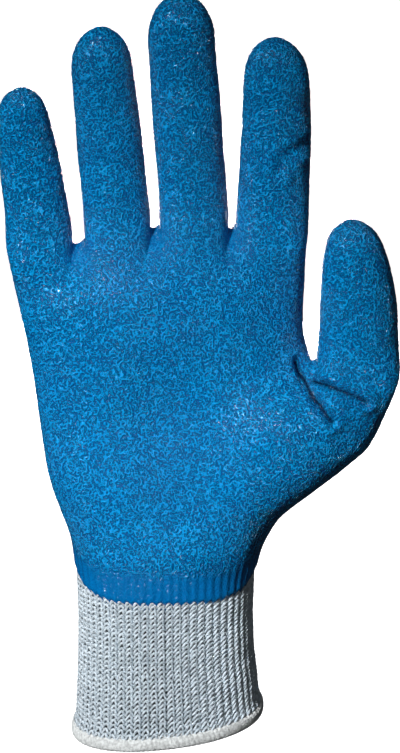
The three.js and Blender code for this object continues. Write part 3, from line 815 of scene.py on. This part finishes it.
# The dip line above the cuff, over which the latex thins, and the margin round the back, in columns of
# the net. The coat runs on past both, and sinks under the knit there.
DIP_FRONT = 47.4
DIP_SIDE = 61.0
DIP_CURVE = 1.9
DIP_WANDER = 0.5
UNDER_DIP = 4.2
SINK_FROM = 0.2
SINK_TO = 3.0
EDGE_SINK = 2.5
EDGE_TEETH = 0.35
MARGIN = 1.15
MARGIN_WANDER = 0.35
MARGIN_SOFTNESS = 0.4
COLUMNS_BEHIND = 2
WANDER = 9
FINE_WANDER = 2.5
FINE_WANDER_SHARE = 0.4

# Where the latex is thin, the ribs of the knit show under it. In the webs and towards the back it
# lies calm.
THIN_FROM = 13
THIN_TO = 6
THIN_RIBS = 0.13
THIN_DROP = 0.35
THIN_SMOOTHNESS = 0.88
CALM_SPREAD = 6
CALM_DROP = 3
CALM_FROM = 0.2
CALM_LIFT = 0.7
CALM_SMOOTHNESS = 0.65

# Creases where the thumb and fingers bend: points across and up, then width and depth. Each has a low brim
# beside it, and a deep one is dark inside with painted shade.
BRIM_SHARE = 0.5
BRIM_PLACE = 2.1
DEEP = 1
CREASE_SHADE_NARROWNESS = 1.9
creases = [
    ([(43.8, 127.0), (46.2, 121.0), (49.4, 115.4), (52.1, 112.2), (55.6, 108.4)], 1.3, 1.5),
    ([(48.8, 121.3), (50.5, 121.0), (54.4, 120.2), (58.1, 118.9), (64.2, 116.2), (66.8, 114.5)], 1.2, 1.8),
    ([(70.0, 122.5), (71.6, 119.0), (72.4, 115.6)], 1.6, 0.5),
    ([(46.5, 199.9), (42.4, 197.4), (39.4, 195.0), (37.2, 191.0)], 2.1, 0.9),
    ([(25.0, 211.6), (36.0, 212.4), (47.0, 211.0)], 3.0, 0.5),
    ([(-28.0, 193.5), (-17.0, 193.0), (-6.0, 194.5)], 3.2, 0.5),
    ([(-52.0, 180.5), (-44.0, 181.5), (-35.0, 181.0)], 3.0, 0.32),
]


def dip_height(y):
    """How high the latex ends above the wrist: lowest in front, and higher towards the back."""
    share = np.maximum(0, (y + WRIST_DEPTH / 2) / (WRIST_DEPTH / 2))
    return DIP_FRONT + (DIP_SIDE - DIP_FRONT) * share**DIP_CURVE


def mounds(points, size, shift):
    """Soft mounds parted by thin winding creases, from 0 in a crease to about 1."""
    height = np.empty(len(points))
    for i, point in enumerate(points):
        place = Vector(point) / size + Vector((shift, shift, shift))
        bent = place + MOUND_BEND * noise.noise_vector(place * MOUND_BEND_SIZE)
        height[i] = abs(noise.noise(bent))
    return np.minimum(1, height * MOUND_STEEPNESS) ** MOUND_ROUNDNESS


def distance_to_crease(points, route):
    """How far points lie from a crease, as seen from the palm."""
    flat = points[:, [0, 2]]
    nearest = np.full(len(points), 1e9)
    for start, end in zip(np.array(route), np.array(route)[1:]):
        way = end - start
        share = np.clip(((flat - start) @ way) / (way @ way), 0, 1)[:, None]
        nearest = np.minimum(nearest, np.linalg.norm(flat - start - share * way, axis=1))
    return nearest


skin_points, skin_faces, skin_behind = smooth_skin(3)
skin_normals = face_normals_at_points(skin_points, skin_faces)
near_dip = skin_points[:, 2] - dip_height(skin_points[:, 1])
in_front = skin_behind[skin_faces].min(axis=1) < COLUMNS_BEHIND
coated = in_front & (near_dip[skin_faces].max(axis=1) > -UNDER_DIP)
used, coat_faces = np.unique(skin_faces[coated], return_inverse=True)
coat_faces = coat_faces.reshape(-1, 4)
coat = skin_points[used]
coat_normals = skin_normals[used]
coat_behind = skin_behind[used]
over_dip = near_dip[used]

half_width, half_depth = WRIST_WIDTH / 2, WRIST_DEPTH / 2
across = -(coat[:, 0] - WRIST_SHIFT) / half_width
ahead = -coat[:, 1] / half_depth
power = WRIST_SQUARENESS / 2
turn = np.arctan2(np.sign(ahead) * np.abs(ahead) ** power, np.sign(across) * np.abs(across) ** power)
rib_turn = np.interp(turn % (2 * math.pi), rib_angles, np.arange(RIBS + 1))
ribs = np.cos(2 * math.pi * (rib_turn - 0.5))
wander = np.array([noise.noise(Vector(point) / WANDER) for point in coat])
fine_wander = np.array([noise.noise(Vector(point) / FINE_WANDER) for point in coat])
wander = wander + FINE_WANDER_SHARE * fine_wander
past_margin = coat_behind - MARGIN - MARGIN_WANDER * wander
sunk = smoothstep(past_margin, -MARGIN_SOFTNESS, MARGIN_SOFTNESS)
below = -over_dip + DIP_WANDER * wander + EDGE_TEETH * ribs
sunk = np.maximum(sunk, smoothstep(below, SINK_FROM, SINK_TO))
thin = smoothstep(over_dip, THIN_FROM, THIN_TO)
in_webs = nearness(coat, web_places[1:], CALM_SPREAD, CALM_DROP)
calm = np.maximum(in_webs, smoothstep(coat_behind, CALM_FROM, 1))

noise.seed_set(MOUND_SEED)
crumple = mounds(coat, CRUMPLE, shift=0)
crinkle = mounds(coat, CRINKLE, shift=31)
lift = CRUMPLE_HEIGHT * (crumple - MOUND_LEVEL) + CRINKLE_HEIGHT * (crinkle - MOUND_LEVEL)
lift = lift * (1 - thin) * (1 - CALM_LIFT * calm)
swell = np.array([noise.noise(Vector(point) / SWELL) for point in coat])
lift = lift + SWELL_HEIGHT * swell * (1 - thin)
palm_side = smoothstep(-coat_normals[:, 1], 0, 0.5)
dent, brim, crease_painted_shade = np.zeros(len(coat)), np.zeros(len(coat)), np.zeros(len(coat))
for route, width, depth in creases:
    away = distance_to_crease(coat, route) / width
    dent = np.maximum(dent, depth * np.exp(-(away**2)))
    brim = np.maximum(brim, BRIM_SHARE * depth * np.exp(-((away - BRIM_PLACE) ** 2)))
    if depth > DEEP:
        crease_painted_shade = np.maximum(crease_painted_shade, np.exp(-((CREASE_SHADE_NARROWNESS * away) ** 2)))
lift = lift + (brim - dent) * palm_side
lift = lift + (THIN_RIBS * ribs - THIN_DROP) * thin
lift = lerp(lift, -EDGE_SINK, sunk)
coat = coat + coat_normals * lift[:, None]
crinkled = (1 - THIN_SMOOTHNESS * thin) * (1 - CALM_SMOOTHNESS * calm)
crease_painted_shade = crease_painted_shade * palm_side

# The finest crinkle is noise folded into winding ridges, a bump whose colour is painted light on the
# crests and painted shade between them. Where the latex is smooth, the colour stays near the painted
# shade.
RIDGE_GRAINS = 1150
RIDGE_FOLDS = 13
RIDGE_HEIGHT = 0.0007
SMOOTH_PAINTED_SHADE = 0.1
latex, nodes, links, shader = new_material("crinkled_latex", LATEX_CREST_PAINTED_LIGHT, 0.17)
shader.inputs["Specular IOR Level"].default_value = 0.6
grain = speckle(nodes, links, RIDGE_GRAINS, 0)
folds = nodes.new("ShaderNodeMath")
folds.operation = "MULTIPLY"
folds.inputs[1].default_value = RIDGE_FOLDS
links.new(grain.outputs["Fac"], folds.inputs[0])
waves = nodes.new("ShaderNodeMath")
waves.operation = "SINE"
links.new(folds.outputs["Value"], waves.inputs[0])
ridges = nodes.new("ShaderNodeMapRange")
ridges.inputs["From Min"].default_value = -1
links.new(waves.outputs["Value"], ridges.inputs["Value"])
crinkled_here = nodes.new("ShaderNodeAttribute")
crinkled_here.attribute_name = "crinkled"
relief = nodes.new("ShaderNodeMix")
relief.data_type = "FLOAT"
relief.inputs["A"].default_value = SMOOTH_PAINTED_SHADE
links.new(crinkled_here.outputs["Fac"], relief.inputs["Factor"])
links.new(ridges.outputs["Result"], relief.inputs["B"])
# The colour follows the ridges: painted light on their crests and painted shade between them.
shade = nodes.new("ShaderNodeMixRGB")
shade.inputs["Color1"].default_value = LATEX_VALLEY_PAINTED_SHADE
shade.inputs["Color2"].default_value = LATEX_CREST_PAINTED_LIGHT
links.new(relief.outputs["Result"], shade.inputs["Fac"])
# Inside the deep creases the colour darkens to painted shade.
crease_shade_here = nodes.new("ShaderNodeAttribute")
crease_shade_here.attribute_name = "crease_painted_shade"
fold_shade = nodes.new("ShaderNodeMixRGB")
fold_shade.inputs["Color2"].default_value = LATEX_CREASE_PAINTED_SHADE
links.new(crease_shade_here.outputs["Fac"], fold_shade.inputs["Fac"])
links.new(shade.outputs["Color"], fold_shade.inputs["Color1"])
links.new(fold_shade.outputs["Color"], shader.inputs["Base Color"])
add_bump(nodes, links, shader, relief.outputs["Result"], 1.0, RIDGE_HEIGHT)

# The coat is two pieces that meet at the digits' roots.
ROOT_HEIGHT = 170
middles = coat[coat_faces].mean(axis=1)
by_thumb = middles[:, 0] > fork_right - thumb["root"]
on_digit = middles[:, 2] > np.where(by_thumb, FORK_HEIGHT, ROOT_HEIGHT)
for name, faces in (("latex_fingers", coat_faces[on_digit]), ("latex_palm", coat_faces[~on_digit])):
    coating, kept = mesh_piece(name, coat, faces, latex, "latex")
    crinkle_map = coating.data.attributes.new("crinkled", "FLOAT", "POINT")
    crinkle_map.data.foreach_set("value", crinkled[kept].astype(np.float32))
    crease_map = coating.data.attributes.new("crease_painted_shade", "FLOAT", "POINT")
    crease_map.data.foreach_set("value", crease_painted_shade[kept].astype(np.float32))
    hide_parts("latex_coating")

# The studio: a white floor that fills the picture, a small window high on the left whose narrow light
# falls most on the palm, a weak reflector on the right, a window behind for the back, and the camera.
MM_PER_PIXEL = 0.34
FRAME_HEIGHT = 753
CAMERA_RISE = math.radians(9)
CAMERA_AWAY = 1150
AIM_ACROSS = 11.2
AIM_UP = 120.2
aim = Vector((AIM_ACROSS, 0, AIM_UP))
back_off = Vector((0, -math.cos(CAMERA_RISE), math.sin(CAMERA_RISE))) * CAMERA_AWAY
camera_data = bpy.data.cameras.new("camera")
camera_data.sensor_fit = "VERTICAL"
camera_data.lens = camera_data.sensor_height / (FRAME_HEIGHT * MM_PER_PIXEL) * CAMERA_AWAY
camera = bpy.data.objects.new("camera", camera_data)
camera.location = (aim + back_off) / 1000
camera.rotation_euler = (math.pi / 2 - CAMERA_RISE, 0, 0)
bpy.context.scene.collection.objects.link(camera)
bpy.context.scene.camera = camera
bpy.context.scene.view_settings.view_transform = "Standard"

FLOOR_DEPTH = -0.06
FLOOR_REACH = 15
FLOOR_PALE = (0.9, 0.9, 0.9, 1)
FLOOR_GLOW = 1.1
corners = [(-1, -1), (1, -1), (1, 1), (-1, 1)]
floor_mesh = bpy.data.meshes.new("floor")
floor_points = [(x * FLOOR_REACH, y * FLOOR_REACH, FLOOR_DEPTH) for x, y in corners]
floor_mesh.from_pydata(floor_points, [], [(0, 1, 2, 3)])
floor = bpy.data.objects.new("floor", floor_mesh)
bpy.context.scene.collection.objects.link(floor)
pale, nodes, links, shader = new_material("pale_floor", FLOOR_PALE, 0.9)
shader.inputs["Emission Color"].default_value = (1, 1, 1, 1)
shader.inputs["Emission Strength"].default_value = FLOOR_GLOW
floor_mesh.materials.append(pale)
floor.visible_diffuse = False
floor.visible_glossy = False


def soft_light(name, place, aim_height, size, power, spread):
    """A square lamp, aimed at a height on the glove, with its light held to so many degrees."""
    data = bpy.data.lights.new(name, "AREA")
    data.size = size
    data.energy = power
    data.spread = math.radians(spread)
    lamp = bpy.data.objects.new(name, data)
    lamp.location = place
    towards = Vector((0, 0, aim_height)) - Vector(place)
    lamp.rotation_euler = towards.to_track_quat("-Z", "Y").to_euler()
    bpy.context.scene.collection.objects.link(lamp)


soft_light("window", (-0.72, -1.18, 0.82), aim_height=0.06, size=0.16, power=0.43, spread=20)
soft_light("reflector", (0.5, -1.2, 0.8), aim_height=0.12, size=0.5, power=1, spread=180)
soft_light("back_window", (0.0, 1.4, 0.15), aim_height=0.12, size=0.5, power=16, spread=180)
COOL_WHITE = (0.8, 0.88, 1, 1)
DIM = 0.02
world = bpy.data.worlds.new("studio")
world.use_nodes = True
world.node_tree.nodes["Background"].inputs["Color"].default_value = COOL_WHITE
world.node_tree.nodes["Background"].inputs["Strength"].default_value = DIM
bpy.context.scene.world = world
